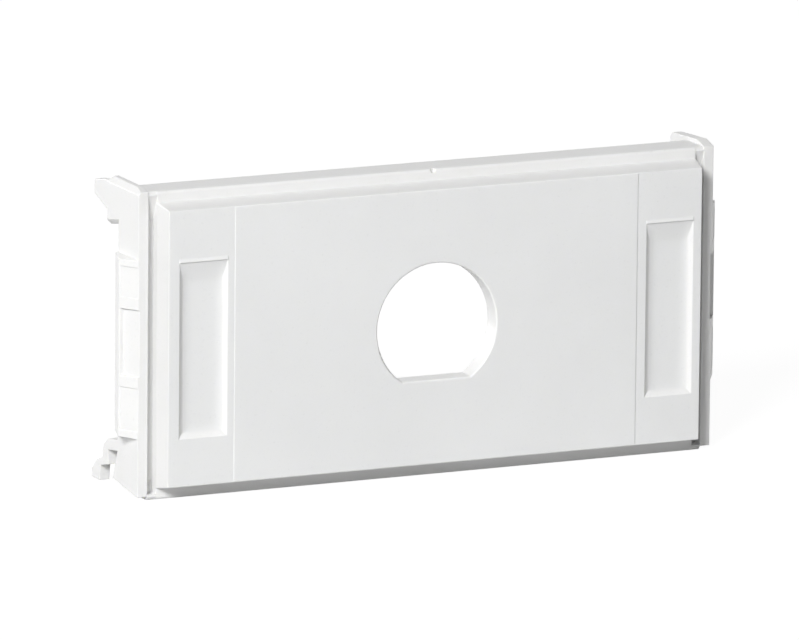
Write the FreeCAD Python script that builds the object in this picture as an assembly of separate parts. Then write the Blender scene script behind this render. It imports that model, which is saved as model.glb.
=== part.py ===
import FreeCAD
import Part
import os

# Front panel, in mm: X across, Y from the face backwards, Z up, origin on the face at the hole's centre
faceWidth = 42.6
faceHeight = 20.4
faceRise = 1.67
faceRound = 0.08
endDraft = 0.24
stepDraft = 0.35
panelThickness = 1.5

# Centre field between the two mould insert lines
centreWidth = 32.2
centreStep = 0.03

# D-shaped connector hole
holeDiameter = 9.5
flatDrop = 3.9
holeRound = 0.15

# Label recesses, bevelled all round, with a ramp up to a raised lip at the top
recessWidth = 3.82
recessHeight = 13.05
recessDraft = 0.4
recessDepth = 0.3
recessCove = 0.6
recessOffset = 18.65
recessShift = 0.09
recessDrop = 0.17
lipRise = 0.08
lipHeight = 0.28
lipRun = 1.5

# Body behind the panel, with a step strip above and below
bodyHeight = 22.8
bodyDepth = 2.63
stripRound = 0.22
rimWall = 1.2
cavityRound = 0.8
gateRadius = 0.2
gateDepth = 0.25
gateInset = 0.12
gateOffset = 0.34

# End walls, each hinged on a grooved web between a bridge at the top and a heel at the foot
grooveWidth = 0.68
grooveDepth = 0.7
endWall = 0.78
endWallDepth = 3.63
hookWallLift = 0.2
snapWallLift = 0.32
snapWallFall = 0.25
liftRun = 1.2
liftTail = 0.3
wallBevel = 0.4
webLap = 0.2
bridgeLip = 0.3
bridgeHeight = 2.2
bridgeSlope = 0.7
heelLip = 0.4
heelDepth = 0.8
heelHeight = 1.4
weldOverlap = 0.3

# Snap bump on each end wall
bumpSpan = 13.2
bumpHeight = 0.9
bumpRamp = 1.5
bumpTail = 0.24
bumpEndSlope = 0.04
ribPitch = 5.8
ribShift = 0.45
hookEndShift = -0.2
snapEndShift = 0.4
ribHeight = 0.85
endRib = 0.55
middlePocket = 0.35
outerPocket = 0.12
ridgeLip = 0.12

# Upper hook, in the plane of the end wall, with a nose at the hook end only
hookHeight = 3.4
hookRise = 0.4
hookRoot = 2.1
hookBevel = 0.35
noseLength = 2.3
noseStep = 0.3
noseHeight = 2.2
noseFlat = 0.2
tipHeight = 1.05
tipDrop = 0.46

# Lower hook, a finger behind a notch, at the hook end only, and the foot in front of it
footReach = 0.85
footHeight = 3.0
footRise = 0.85
cornerLift = 0.28
notchWidth = 1.7
notchHeight = 2.75
fingerTop = 3.8
fingerFall = 0.2
fingerWidth = 0.75
elbowDrop = 0.7
waistSlope = 0.35
waistHeight = 2.0
clawReach = 4.7
clawLift = 0.15
clawLength = 1.4
clawHeight = 1.3
clawDraft = 0.2
noseRun = 0.87
noseRise = 1.57
tipRise = 0.76

vec = FreeCAD.Vector
bodyWidth = faceWidth + 2 * endDraft
bodyRear = faceRise + bodyDepth
top = bodyHeight / 2
wallInner = bodyWidth / 2 + grooveWidth
wallOuter = wallInner + endWall
wallRear = faceRise + endWallDepth
hookRear = wallRear + hookRoot
through = 2 * bodyRear


def flatFace(points):
    return Part.Face(Part.makePolygon(points + points[:1]))


def alongX(outline, start, length):
    return flatFace([vec(start, y, z) for y, z in outline]).extrude(vec(length, 0, 0))


def alongY(outline, start, length):
    return flatFace([vec(x, start, z) for x, z in outline]).extrude(vec(0, length, 0))


def alongZ(outline, start, length):
    return flatFace([vec(x, y, start) for x, y in outline]).extrude(vec(0, 0, length))


def rectangle(centre, width, height, y):
    left = centre - width / 2
    right = centre + width / 2
    corners = [vec(left, y, -height / 2), vec(right, y, -height / 2)]
    corners += [vec(right, y, height / 2), vec(left, y, height / 2)]
    return Part.makePolygon(corners + corners[:1])


def tapered(centre, frontSize, front, backSize, back):
    wires = [rectangle(centre, *frontSize, front), rectangle(centre, *backSize, back)]
    return Part.makeLoft(wires, True, True)


def straight(size, front, back):
    return tapered(0, size, front, size, back)


def edgesAt(shape, y):
    return [edge for edge in shape.Edges if all(abs(v.Y - y) < 1e-6 for v in edge.Vertexes)]


def uprightEdges(shape):
    return [edge for edge in shape.Edges if edge.BoundBox.YLength > 1e-6]


def raisedPanel():
    panel = tapered(0, (faceWidth, faceHeight), 0, (bodyWidth, faceHeight + 2 * stepDraft), faceRise)
    panel = panel.makeFillet(faceRound, edgesAt(panel, 0) + uprightEdges(panel))
    fieldEdge = centreWidth / 2
    clear = bodyWidth
    field = [(fieldEdge, -top), (fieldEdge + clear, -top), (fieldEdge + clear, top), (fieldEdge, top)]
    lowered = alongY(field, -faceRise, faceRise + centreStep)
    return panel.cut([lowered, mirrored(lowered)])


def mirrored(shape):
    return shape.mirror(vec(0, 0, 0), vec(1, 0, 0))


def labelRecess(centre):
    mouth = (recessWidth, recessHeight)
    floor = (recessWidth - 2 * recessDraft, recessHeight - 2 * recessDraft)
    foot = centreStep + recessDepth
    well = tapered(centre, mouth, centreStep, floor, foot)
    well = well.makeFillet(recessCove, edgesAt(well, foot))
    well = well.fuse(tapered(centre, mouth, -faceRise, mouth, centreStep))
    return well.translated(vec(0, 0, -recessDrop))


def labelLip(centre):
    foot = recessHeight / 2 - recessDrop
    floor = centreStep + recessDepth
    outline = [(floor + weldOverlap, foot - lipRun), (floor, foot - lipRun), (centreStep, foot)]
    outline += [(centreStep - lipRise, foot), (centreStep, foot + lipHeight)]
    outline += [(floor + weldOverlap, foot + lipHeight)]
    return alongX(outline, centre - recessWidth / 2, recessWidth)


def connectorHole():
    radius = holeDiameter / 2
    reach = (radius ** 2 - flatDrop ** 2) ** 0.5
    start = vec(-reach, -faceRise, -flatDrop)
    end = vec(reach, -faceRise, -flatDrop)
    arc = Part.Arc(start, vec(0, -faceRise, radius), end).toShape()
    flat = Part.LineSegment(end, start).toShape()
    return Part.Face(Part.Wire([arc, flat])).extrude(vec(0, through, 0))


def holeRim(shape):
    reach = holeDiameter + 1e-6
    return [edge for edge in edgesAt(shape, 0) if max(edge.BoundBox.XLength, edge.BoundBox.ZLength) < reach]


def cavity():
    width = bodyWidth - 2 * rimWall
    front = straight((width, faceHeight + 2 * stepDraft - 2 * rimWall), panelThickness, bodyRear + rimWall)
    rear = straight((width, bodyHeight - 2 * rimWall), faceRise + rimWall, bodyRear + rimWall)
    front = front.makeFillet(cavityRound, uprightEdges(front))
    rear = rear.makeFillet(cavityRound, uprightEdges(rear))
    return front.fuse(rear)


def body():
    block = straight((bodyWidth, bodyHeight), faceRise, bodyRear)
    rails = [edge for edge in edgesAt(block, faceRise) if edge.BoundBox.XLength > bodyHeight]
    block = block.makeFillet(stripRound, rails)
    gate = Part.makeCylinder(gateRadius, gateDepth, vec(gateOffset, faceRise, top - gateInset), vec(0, 1, 0))
    whole = block.cut(gate).fuse(raisedPanel())
    labels = [recessShift - recessOffset, recessShift + recessOffset]
    whole = whole.cut([connectorHole(), cavity()] + [labelRecess(centre) for centre in labels])
    whole = whole.fuse([labelLip(centre) for centre in labels])
    return whole.makeFillet(holeRound, holeRim(whole))


def hookNose():
    tip = hookRear + noseLength
    outline = [(tip, top - tipDrop), (tip, top - tipDrop - tipHeight)]
    return outline + [(hookRear + noseFlat, top - noseHeight), (hookRear, top - noseHeight)]


def finger():
    front = wallRear + notchWidth
    back = front + fingerWidth
    tip = wallRear + clawReach
    heel = tip - clawLength
    outline = [(wallRear, fingerTop), (front, fingerTop - fingerFall), (back, fingerTop - elbowDrop)]
    outline += [(back + waistSlope, waistHeight), (tip - noseRun, noseRise), (tip, tipRise), (tip, clawLift)]
    outline += [(heel, clawLift), (heel - clawDraft, clawHeight)]
    outline += [(front, waistHeight - waistSlope), (front, notchHeight)]
    return [(y, z - top) for y, z in outline]


def endWallSolid(hooked):
    under = top - hookHeight
    lifted = top + (hookWallLift if hooked else snapWallLift)
    rear = lifted - (0 if hooked else snapWallFall)
    outline = [(faceRise, top), (faceRise + liftRun, lifted), (hookRear - liftTail, rear)]
    outline += [(hookRear, rear - noseStep)]
    if hooked:
        outline += hookNose()
    outline += [(hookRear, under), (wallRear, under + hookRise)]
    if hooked:
        outline += finger()
    outline += [(wallRear, footHeight - top), (wallRear + footReach, footRise - top)]
    outline += [(faceRise, cornerLift - top)]
    wall = alongX(outline, wallInner, endWall)
    wall = wall.makeChamfer(hookBevel, [edge for edge in wall.Edges if isUnderHook(edge, under)])
    if not hooked:
        return wall
    clear = wallBevel
    slope = [(wallOuter - wallBevel - clear, lifted + clear), (wallOuter + clear, lifted + clear)]
    slope += [(wallOuter + clear, lifted - wallBevel - clear)]
    return wall.cut(alongY(slope, faceRise, hookRear - faceRise))


def isUnderHook(edge, height):
    ends = [v.Point for v in edge.Vertexes]
    outside = all(abs(p.x - wallOuter) < 1e-6 for p in ends)
    level = all(height - 1e-6 < p.z < height + hookRise + 1e-6 for p in ends)
    return outside and level and all(p.y < hookRear + 1e-6 for p in ends)


def bridge():
    outline = [(faceRise + stripRound, top), (bodyRear, top), (bodyRear, top - bridgeHeight)]
    outline += [(faceRise + bridgeSlope, top - bridgeHeight), (faceRise, top - bridgeLip)]
    outline += [(faceRise, top - stripRound)]
    return alongX(outline, bodyWidth / 2 - weldOverlap, grooveWidth + weldOverlap)


def heel():
    outline = [(faceRise + stripRound, 0), (bodyRear, 0), (bodyRear, heelHeight)]
    outline += [(faceRise + heelDepth, heelHeight), (faceRise + heelDepth, heelLip)]
    outline += [(faceRise, heelLip), (faceRise, stripRound)]
    outline = [(y, z - top) for y, z in outline]
    return alongX(outline, bodyWidth / 2 - weldOverlap, grooveWidth + weldOverlap)


def web():
    front = faceRise + grooveDepth
    back = faceRise + bridgeSlope + webLap
    high = top - bridgeHeight
    low = heelHeight - top
    outline = [(front, high), (back, high), (back, low), (front, low)]
    return alongX(outline, bodyWidth / 2 - weldOverlap, grooveWidth + weldOverlap)


def pocket(depth, low, high):
    ridge = faceRise + bumpRamp - ridgeLip
    clear = wallOuter + 2 * bumpHeight
    outline = [(wallOuter - depth / 3, faceRise), (wallOuter + bumpHeight - depth, ridge), (clear, ridge)]
    outline += [(clear, faceRise)]
    return alongZ(outline, low, high - low)


def snapBump(shift):
    low = shift - bumpSpan / 2
    high = shift + bumpSpan / 2
    root = wallOuter - weldOverlap
    crest = wallOuter + bumpHeight
    plan = [(root, faceRise), (wallOuter, faceRise), (crest, faceRise + bumpRamp)]
    plan += [(wallOuter + bumpTail, wallRear), (root, wallRear)]
    front = [(root, low), (wallOuter, low), (crest, low + bumpEndSlope)]
    front += [(crest, high - bumpEndSlope), (wallOuter, high), (root, high)]
    return alongZ(plan, low, bumpSpan).common(alongY(front, faceRise, endWallDepth))


def endUnit(hooked, shift):
    unit = endWallSolid(hooked).fuse([bridge(), heel(), web(), snapBump(shift)])
    middle = shift + ribShift
    inner = ribPitch / 2 - ribHeight / 2
    outer = ribPitch / 2 + ribHeight / 2
    reach = bumpSpan / 2 - endRib
    pockets = [pocket(middlePocket, middle - inner, middle + inner)]
    pockets += [pocket(outerPocket, middle + outer, shift + reach)]
    pockets += [pocket(outerPocket, shift - reach, middle - outer)]
    return unit.cut(pockets)


def insertPlate():
    hookEnd = mirrored(endUnit(True, hookEndShift))
    snapEnd = endUnit(False, snapEndShift)
    return body().fuse([hookEnd, snapEnd]).removeSplitter()


plate = insertPlate()
os.makedirs("parts", exist_ok=True)
plate.exportStep("parts/insert_plate.step")
box = plate.BoundBox
print("insert_plate", plate.isValid(), len(plate.Solids), round(plate.Volume, 1), len(plate.Faces))
print("box", [round(v, 2) for v in (box.XMin, box.XMax, box.YMin, box.YMax, box.ZMin, box.ZMax)])
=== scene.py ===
import bpy
import bmesh
import math
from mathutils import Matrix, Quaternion, Vector


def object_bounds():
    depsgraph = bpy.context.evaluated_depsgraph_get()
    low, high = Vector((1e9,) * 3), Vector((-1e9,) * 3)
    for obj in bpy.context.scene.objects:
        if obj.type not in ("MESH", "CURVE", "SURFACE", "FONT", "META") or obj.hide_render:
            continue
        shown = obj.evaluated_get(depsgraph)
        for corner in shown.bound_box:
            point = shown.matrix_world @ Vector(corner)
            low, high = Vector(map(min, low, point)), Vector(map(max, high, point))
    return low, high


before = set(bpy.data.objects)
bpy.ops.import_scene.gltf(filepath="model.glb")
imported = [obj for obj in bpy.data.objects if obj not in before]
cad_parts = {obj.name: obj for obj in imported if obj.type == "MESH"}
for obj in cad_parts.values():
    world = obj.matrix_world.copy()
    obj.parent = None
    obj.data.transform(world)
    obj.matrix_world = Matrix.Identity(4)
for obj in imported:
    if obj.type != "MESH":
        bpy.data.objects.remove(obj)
cadLow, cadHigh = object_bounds()
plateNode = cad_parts["insert_plate"]
mm = 0.001
print("frame loaded")


def addNode(tree, kind, inputs=None, **settings):
    node = tree.nodes.new(kind)
    for name, value in settings.items():
        setattr(node, name, value)
    for name, value in (inputs or {}).items():
        node.inputs[name].default_value = value
    return node


def addRange(tree, source, fromMin, fromMax, toMin, toMax):
    limits = {"From Min": fromMin, "From Max": fromMax, "To Min": toMin, "To Max": toMax}
    node = addNode(tree, "ShaderNodeMapRange", limits)
    tree.links.new(source, node.inputs["Value"])
    return node.outputs["Result"]


def addMath(tree, operation, first, second):
    node = addNode(tree, "ShaderNodeMath", operation=operation)
    tree.links.new(first, node.inputs[0])
    tree.links.new(second, node.inputs[1])
    return node.outputs[0]


def addOutput(tree, surface):
    output = addNode(tree, "ShaderNodeOutputMaterial")
    tree.links.new(surface, output.inputs["Surface"])


def newMaterial(name):
    material = bpy.data.materials.new(name)
    material.use_nodes = True
    material.node_tree.nodes.clear()
    return material, material.node_tree


# White moulded plastic: smooth skin, a matt textured front face with rubbed edges, flow clouds and specks
whitePlastic = {
    "skinColour": (0.805, 0.805, 0.8, 1),
    "faceColour": (0.8, 0.805, 0.804, 1),
    "skinRough": 0.38,
    "faceRough": 0.55,
    "faceTurn": (-0.99, -0.9),   # the normal's Y on the front face, and where the face has ended
    "faceDepth": 0.6 * mm,       # the texture reaches the label recesses
    "faceFade": 0.2 * mm,
    "floorDepth": 0.06 * mm,     # deeper than this the face is a recess floor, with soft corners
    "floorSoft": 1.3 * mm,
    "rubWidth": 0.07 * mm,
    "rubShare": 0.25,
    "rubBend": 0.8,              # how far the normals agree on a fully rubbed edge
    "edgeSamples": 8,
    "noiseRough": 0.55,
    "cloud": {"scale": 90, "detail": 3, "span": (0.35, 0.7), "shade": 0.97},
    "speck": {"scale": 4200, "detail": 2, "span": (0.6, 0.8), "shade": 0.95},
    "grain": {
        "scale": 9000,
        "detail": 2,
        "depth": 0.004 * mm,
        "strength": 0.6,
        "span": (0.3, 0.7),
        "uneven": 0.04,          # how much the roughness follows the grain
    },
    "glowRadius": 0.15 * mm,
    "glowTint": (1, 1, 0.9),
    "glowShare": 0.5,
    "refraction": 1.5,
}


def addNoise(tree, spot, noise):
    settings = {"Scale": noise["scale"], "Detail": noise["detail"], "Roughness": whitePlastic["noiseRough"]}
    node = addNode(tree, "ShaderNodeTexNoise", settings)
    tree.links.new(spot, node.inputs["Vector"])
    return node.outputs["Fac"]


def addShade(tree, spot, noise):
    return addRange(tree, addNoise(tree, spot, noise), *noise["span"], 1, noise["shade"])


def findFront(tree, normal, depth):
    look = whitePlastic
    turn = addNode(tree, "ShaderNodeSeparateXYZ")
    tree.links.new(normal, turn.inputs[0])
    facing = addRange(tree, turn.outputs["Y"], *look["faceTurn"], 1, 0)
    shallow = addRange(tree, depth, look["faceDepth"], look["faceDepth"] + look["faceFade"], 1, 0)
    return addMath(tree, "MULTIPLY", facing, shallow)


def softenEdges(tree, front, depth):
    look = whitePlastic
    deep = addRange(tree, depth, look["floorDepth"], 2 * look["floorDepth"], 0, 1)
    recessed = addMath(tree, "MULTIPLY", front, deep)
    rounded = addNode(tree, "ShaderNodeBevel", samples=look["edgeSamples"])
    width = addRange(tree, recessed, 0, 1, look["rubWidth"], look["floorSoft"])
    tree.links.new(width, rounded.inputs["Radius"])
    return rounded.outputs["Normal"]


# the face's texture is rubbed off where the rounded normal leaves the flat one
def rubEdges(tree, front, rounded):
    look = whitePlastic
    flat = addNode(tree, "ShaderNodeNewGeometry")
    bend = addNode(tree, "ShaderNodeVectorMath", operation="DOT_PRODUCT")
    tree.links.new(rounded, bend.inputs[0])
    tree.links.new(flat.outputs["Normal"], bend.inputs[1])
    keep = addRange(tree, bend.outputs["Value"], look["rubBend"], 1, 1 - look["rubShare"], 1)
    return addMath(tree, "MULTIPLY", front, keep)


def mixColour(tree, spot, faceShare):
    look = whitePlastic
    base = addNode(tree, "ShaderNodeMix", data_type="RGBA")
    base.inputs[6].default_value = look["skinColour"]   # the colours are sockets 6 and 7, the result is 2
    base.inputs[7].default_value = look["faceColour"]
    tree.links.new(faceShare, base.inputs[0])
    cloud = addShade(tree, spot, look["cloud"])
    speck = addShade(tree, spot, look["speck"])
    colour = addNode(tree, "ShaderNodeVectorMath", operation="SCALE")
    tree.links.new(base.outputs[2], colour.inputs[0])
    tree.links.new(addMath(tree, "MULTIPLY", cloud, speck), colour.inputs["Scale"])
    return colour.outputs[0]


def makeWhitePlastic():
    look = whitePlastic
    material, tree = newMaterial("whitePlastic")
    place = addNode(tree, "ShaderNodeTexCoord")
    spot = place.outputs["Object"]
    axes = addNode(tree, "ShaderNodeSeparateXYZ")
    tree.links.new(spot, axes.inputs[0])
    depth = axes.outputs["Y"]
    front = findFront(tree, place.outputs["Normal"], depth)
    rounded = softenEdges(tree, front, depth)
    faceShare = rubEdges(tree, front, rounded)
    texture = look["grain"]
    grain = addNoise(tree, spot, texture)
    bump = addNode(tree, "ShaderNodeBump", {"Strength": texture["strength"], "Distance": texture["depth"]})
    tree.links.new(grain, bump.inputs["Height"])
    tree.links.new(rounded, bump.inputs["Normal"])
    plain = addRange(tree, faceShare, 0, 1, look["skinRough"], look["faceRough"])
    uneven = addRange(tree, grain, *texture["span"], -texture["uneven"], texture["uneven"])
    shader = addNode(tree, "ShaderNodeBsdfPrincipled", {"IOR": look["refraction"]})
    shader.inputs["Subsurface Weight"].default_value = look["glowShare"]
    shader.inputs["Subsurface Radius"].default_value = look["glowTint"]
    shader.inputs["Subsurface Scale"].default_value = look["glowRadius"]
    tree.links.new(mixColour(tree, spot, faceShare), shader.inputs["Base Color"])
    tree.links.new(addMath(tree, "ADD", plain, uneven), shader.inputs["Roughness"])
    tree.links.new(bump.outputs["Normal"], shader.inputs["Normal"])
    addOutput(tree, shader.outputs["BSDF"])
    return material


plateNode.data.materials.clear()
plateNode.data.materials.append(makeWhitePlastic())
print("plate finished in white plastic")


# 1 for what the camera, a mirror or glass sees, 0 for light on its way to the object
def seenDirectly(tree):
    rays = addNode(tree, "ShaderNodeLightPath").outputs
    mirrored = addMath(tree, "MAXIMUM", rays["Is Glossy Ray"], rays["Is Transmission Ray"])
    return addMath(tree, "MAXIMUM", rays["Is Camera Ray"], mirrored)


# Floor under the lower edge, white to the camera but for a faint shadow
floorLook = {"size": 6, "bounce": (0.64, 0.64, 0.64, 1), "glow": 0.95, "shadowShare": 0.12}


def makePaleFloor():
    material, tree = newMaterial("paleFloor")
    share = floorLook["shadowShare"]
    glow = addNode(tree, "ShaderNodeEmission", {"Strength": floorLook["glow"]})
    shade = addNode(tree, "ShaderNodeBsdfDiffuse", {"Color": (share, share, share, 1)})
    white = addNode(tree, "ShaderNodeAddShader")
    tree.links.new(glow.outputs[0], white.inputs[0])
    tree.links.new(shade.outputs[0], white.inputs[1])
    bounce = addNode(tree, "ShaderNodeBsdfDiffuse", {"Color": floorLook["bounce"]})
    pick = addNode(tree, "ShaderNodeMixShader")
    tree.links.new(seenDirectly(tree), pick.inputs[0])
    tree.links.new(bounce.outputs[0], pick.inputs[1])
    tree.links.new(white.outputs[0], pick.inputs[2])
    addOutput(tree, pick.outputs[0])
    return material


def layFloor():
    grid = bmesh.new()
    bmesh.ops.create_grid(grid, x_segments=1, y_segments=1, size=floorLook["size"] / 2)
    bmesh.ops.translate(grid, verts=grid.verts, vec=(0, 0, cadLow.z))
    mesh = bpy.data.meshes.new("floor")
    grid.to_mesh(mesh)
    grid.free()
    mesh.materials.append(makePaleFloor())
    floor = bpy.data.objects.new("floor", mesh)
    bpy.context.scene.collection.objects.link(floor)


layFloor()
print("floor laid")


# Camera: a long lens a little to the left and above, the hole's centre right of the picture's middle
shot = {
    "yaw": 24.85,
    "elevation": 12.2,
    "roll": 0.55,
    "distance": 0.946,
    "lens": 585.65,
    "sensor": 36,
    "nearest": 0.05,
    "farthest": 20,
    "moveAside": -2.737 * mm,
    "moveUp": 0.502 * mm,
}


def placeCamera():
    yaw = math.radians(shot["yaw"])
    rise = math.radians(shot["elevation"])
    forward = Vector((math.sin(yaw) * math.cos(rise), math.cos(yaw) * math.cos(rise), -math.sin(rise)))
    spin = Quaternion((0, 0, 1), math.radians(shot["roll"]))
    turned = forward.to_track_quat("-Z", "Y") @ spin
    aim = turned @ Vector((shot["moveAside"], shot["moveUp"], 0))
    spot = -forward * shot["distance"]
    data = bpy.data.cameras.new("camera")
    data.lens = shot["lens"]
    data.sensor_width = shot["sensor"]
    data.clip_start = shot["nearest"]
    data.clip_end = shot["farthest"]
    camera = bpy.data.objects.new("camera", data)
    camera.location = spot
    camera.rotation_mode = "QUATERNION"
    camera.rotation_quaternion = (aim - spot).to_track_quat("-Z", "Y") @ spin
    bpy.context.scene.collection.objects.link(camera)
    bpy.context.scene.camera = camera


placeCamera()
print("camera placed")


# Studio light: a soft lamp from the left front, weaker ones from behind and the right, an even dim room
lamps = {
    "key": {"aside": -45, "rise": 31, "distance": 0.75, "size": 0.24, "power": 6.1},
    "rear": {"aside": -162, "rise": 2, "distance": 0.75, "size": 0.2, "power": 2.6},
    "side": {"aside": 100, "rise": 12, "distance": 0.75, "size": 0.2, "power": 0.5},
}
room = {"colour": (1, 1, 1, 1), "light": 0.125, "seen": 1}


def hangLamp(name, lamp):
    aside = math.radians(lamp["aside"])
    rise = math.radians(lamp["rise"])
    out = Vector((math.sin(aside) * math.cos(rise), -math.cos(aside) * math.cos(rise), math.sin(rise)))
    data = bpy.data.lights.new(name, "AREA")
    data.shape = "DISK"
    data.size = lamp["size"]
    data.energy = lamp["power"]
    light = bpy.data.objects.new(name, data)
    light.location = out * lamp["distance"]
    light.rotation_mode = "QUATERNION"
    light.rotation_quaternion = (-out).to_track_quat("-Z", "Y")
    bpy.context.scene.collection.objects.link(light)


def paintRoom():
    world = bpy.data.worlds.new("room")
    world.use_nodes = True
    tree = world.node_tree
    background = tree.nodes["Background"]
    background.inputs["Color"].default_value = room["colour"]
    level = addRange(tree, seenDirectly(tree), 0, 1, room["light"], room["seen"])
    tree.links.new(level, background.inputs["Strength"])
    bpy.context.scene.world = world


for name, lamp in lamps.items():
    hangLamp(name, lamp)
paintRoom()
bpy.context.scene.view_settings.view_transform = "Standard"
print("light set")
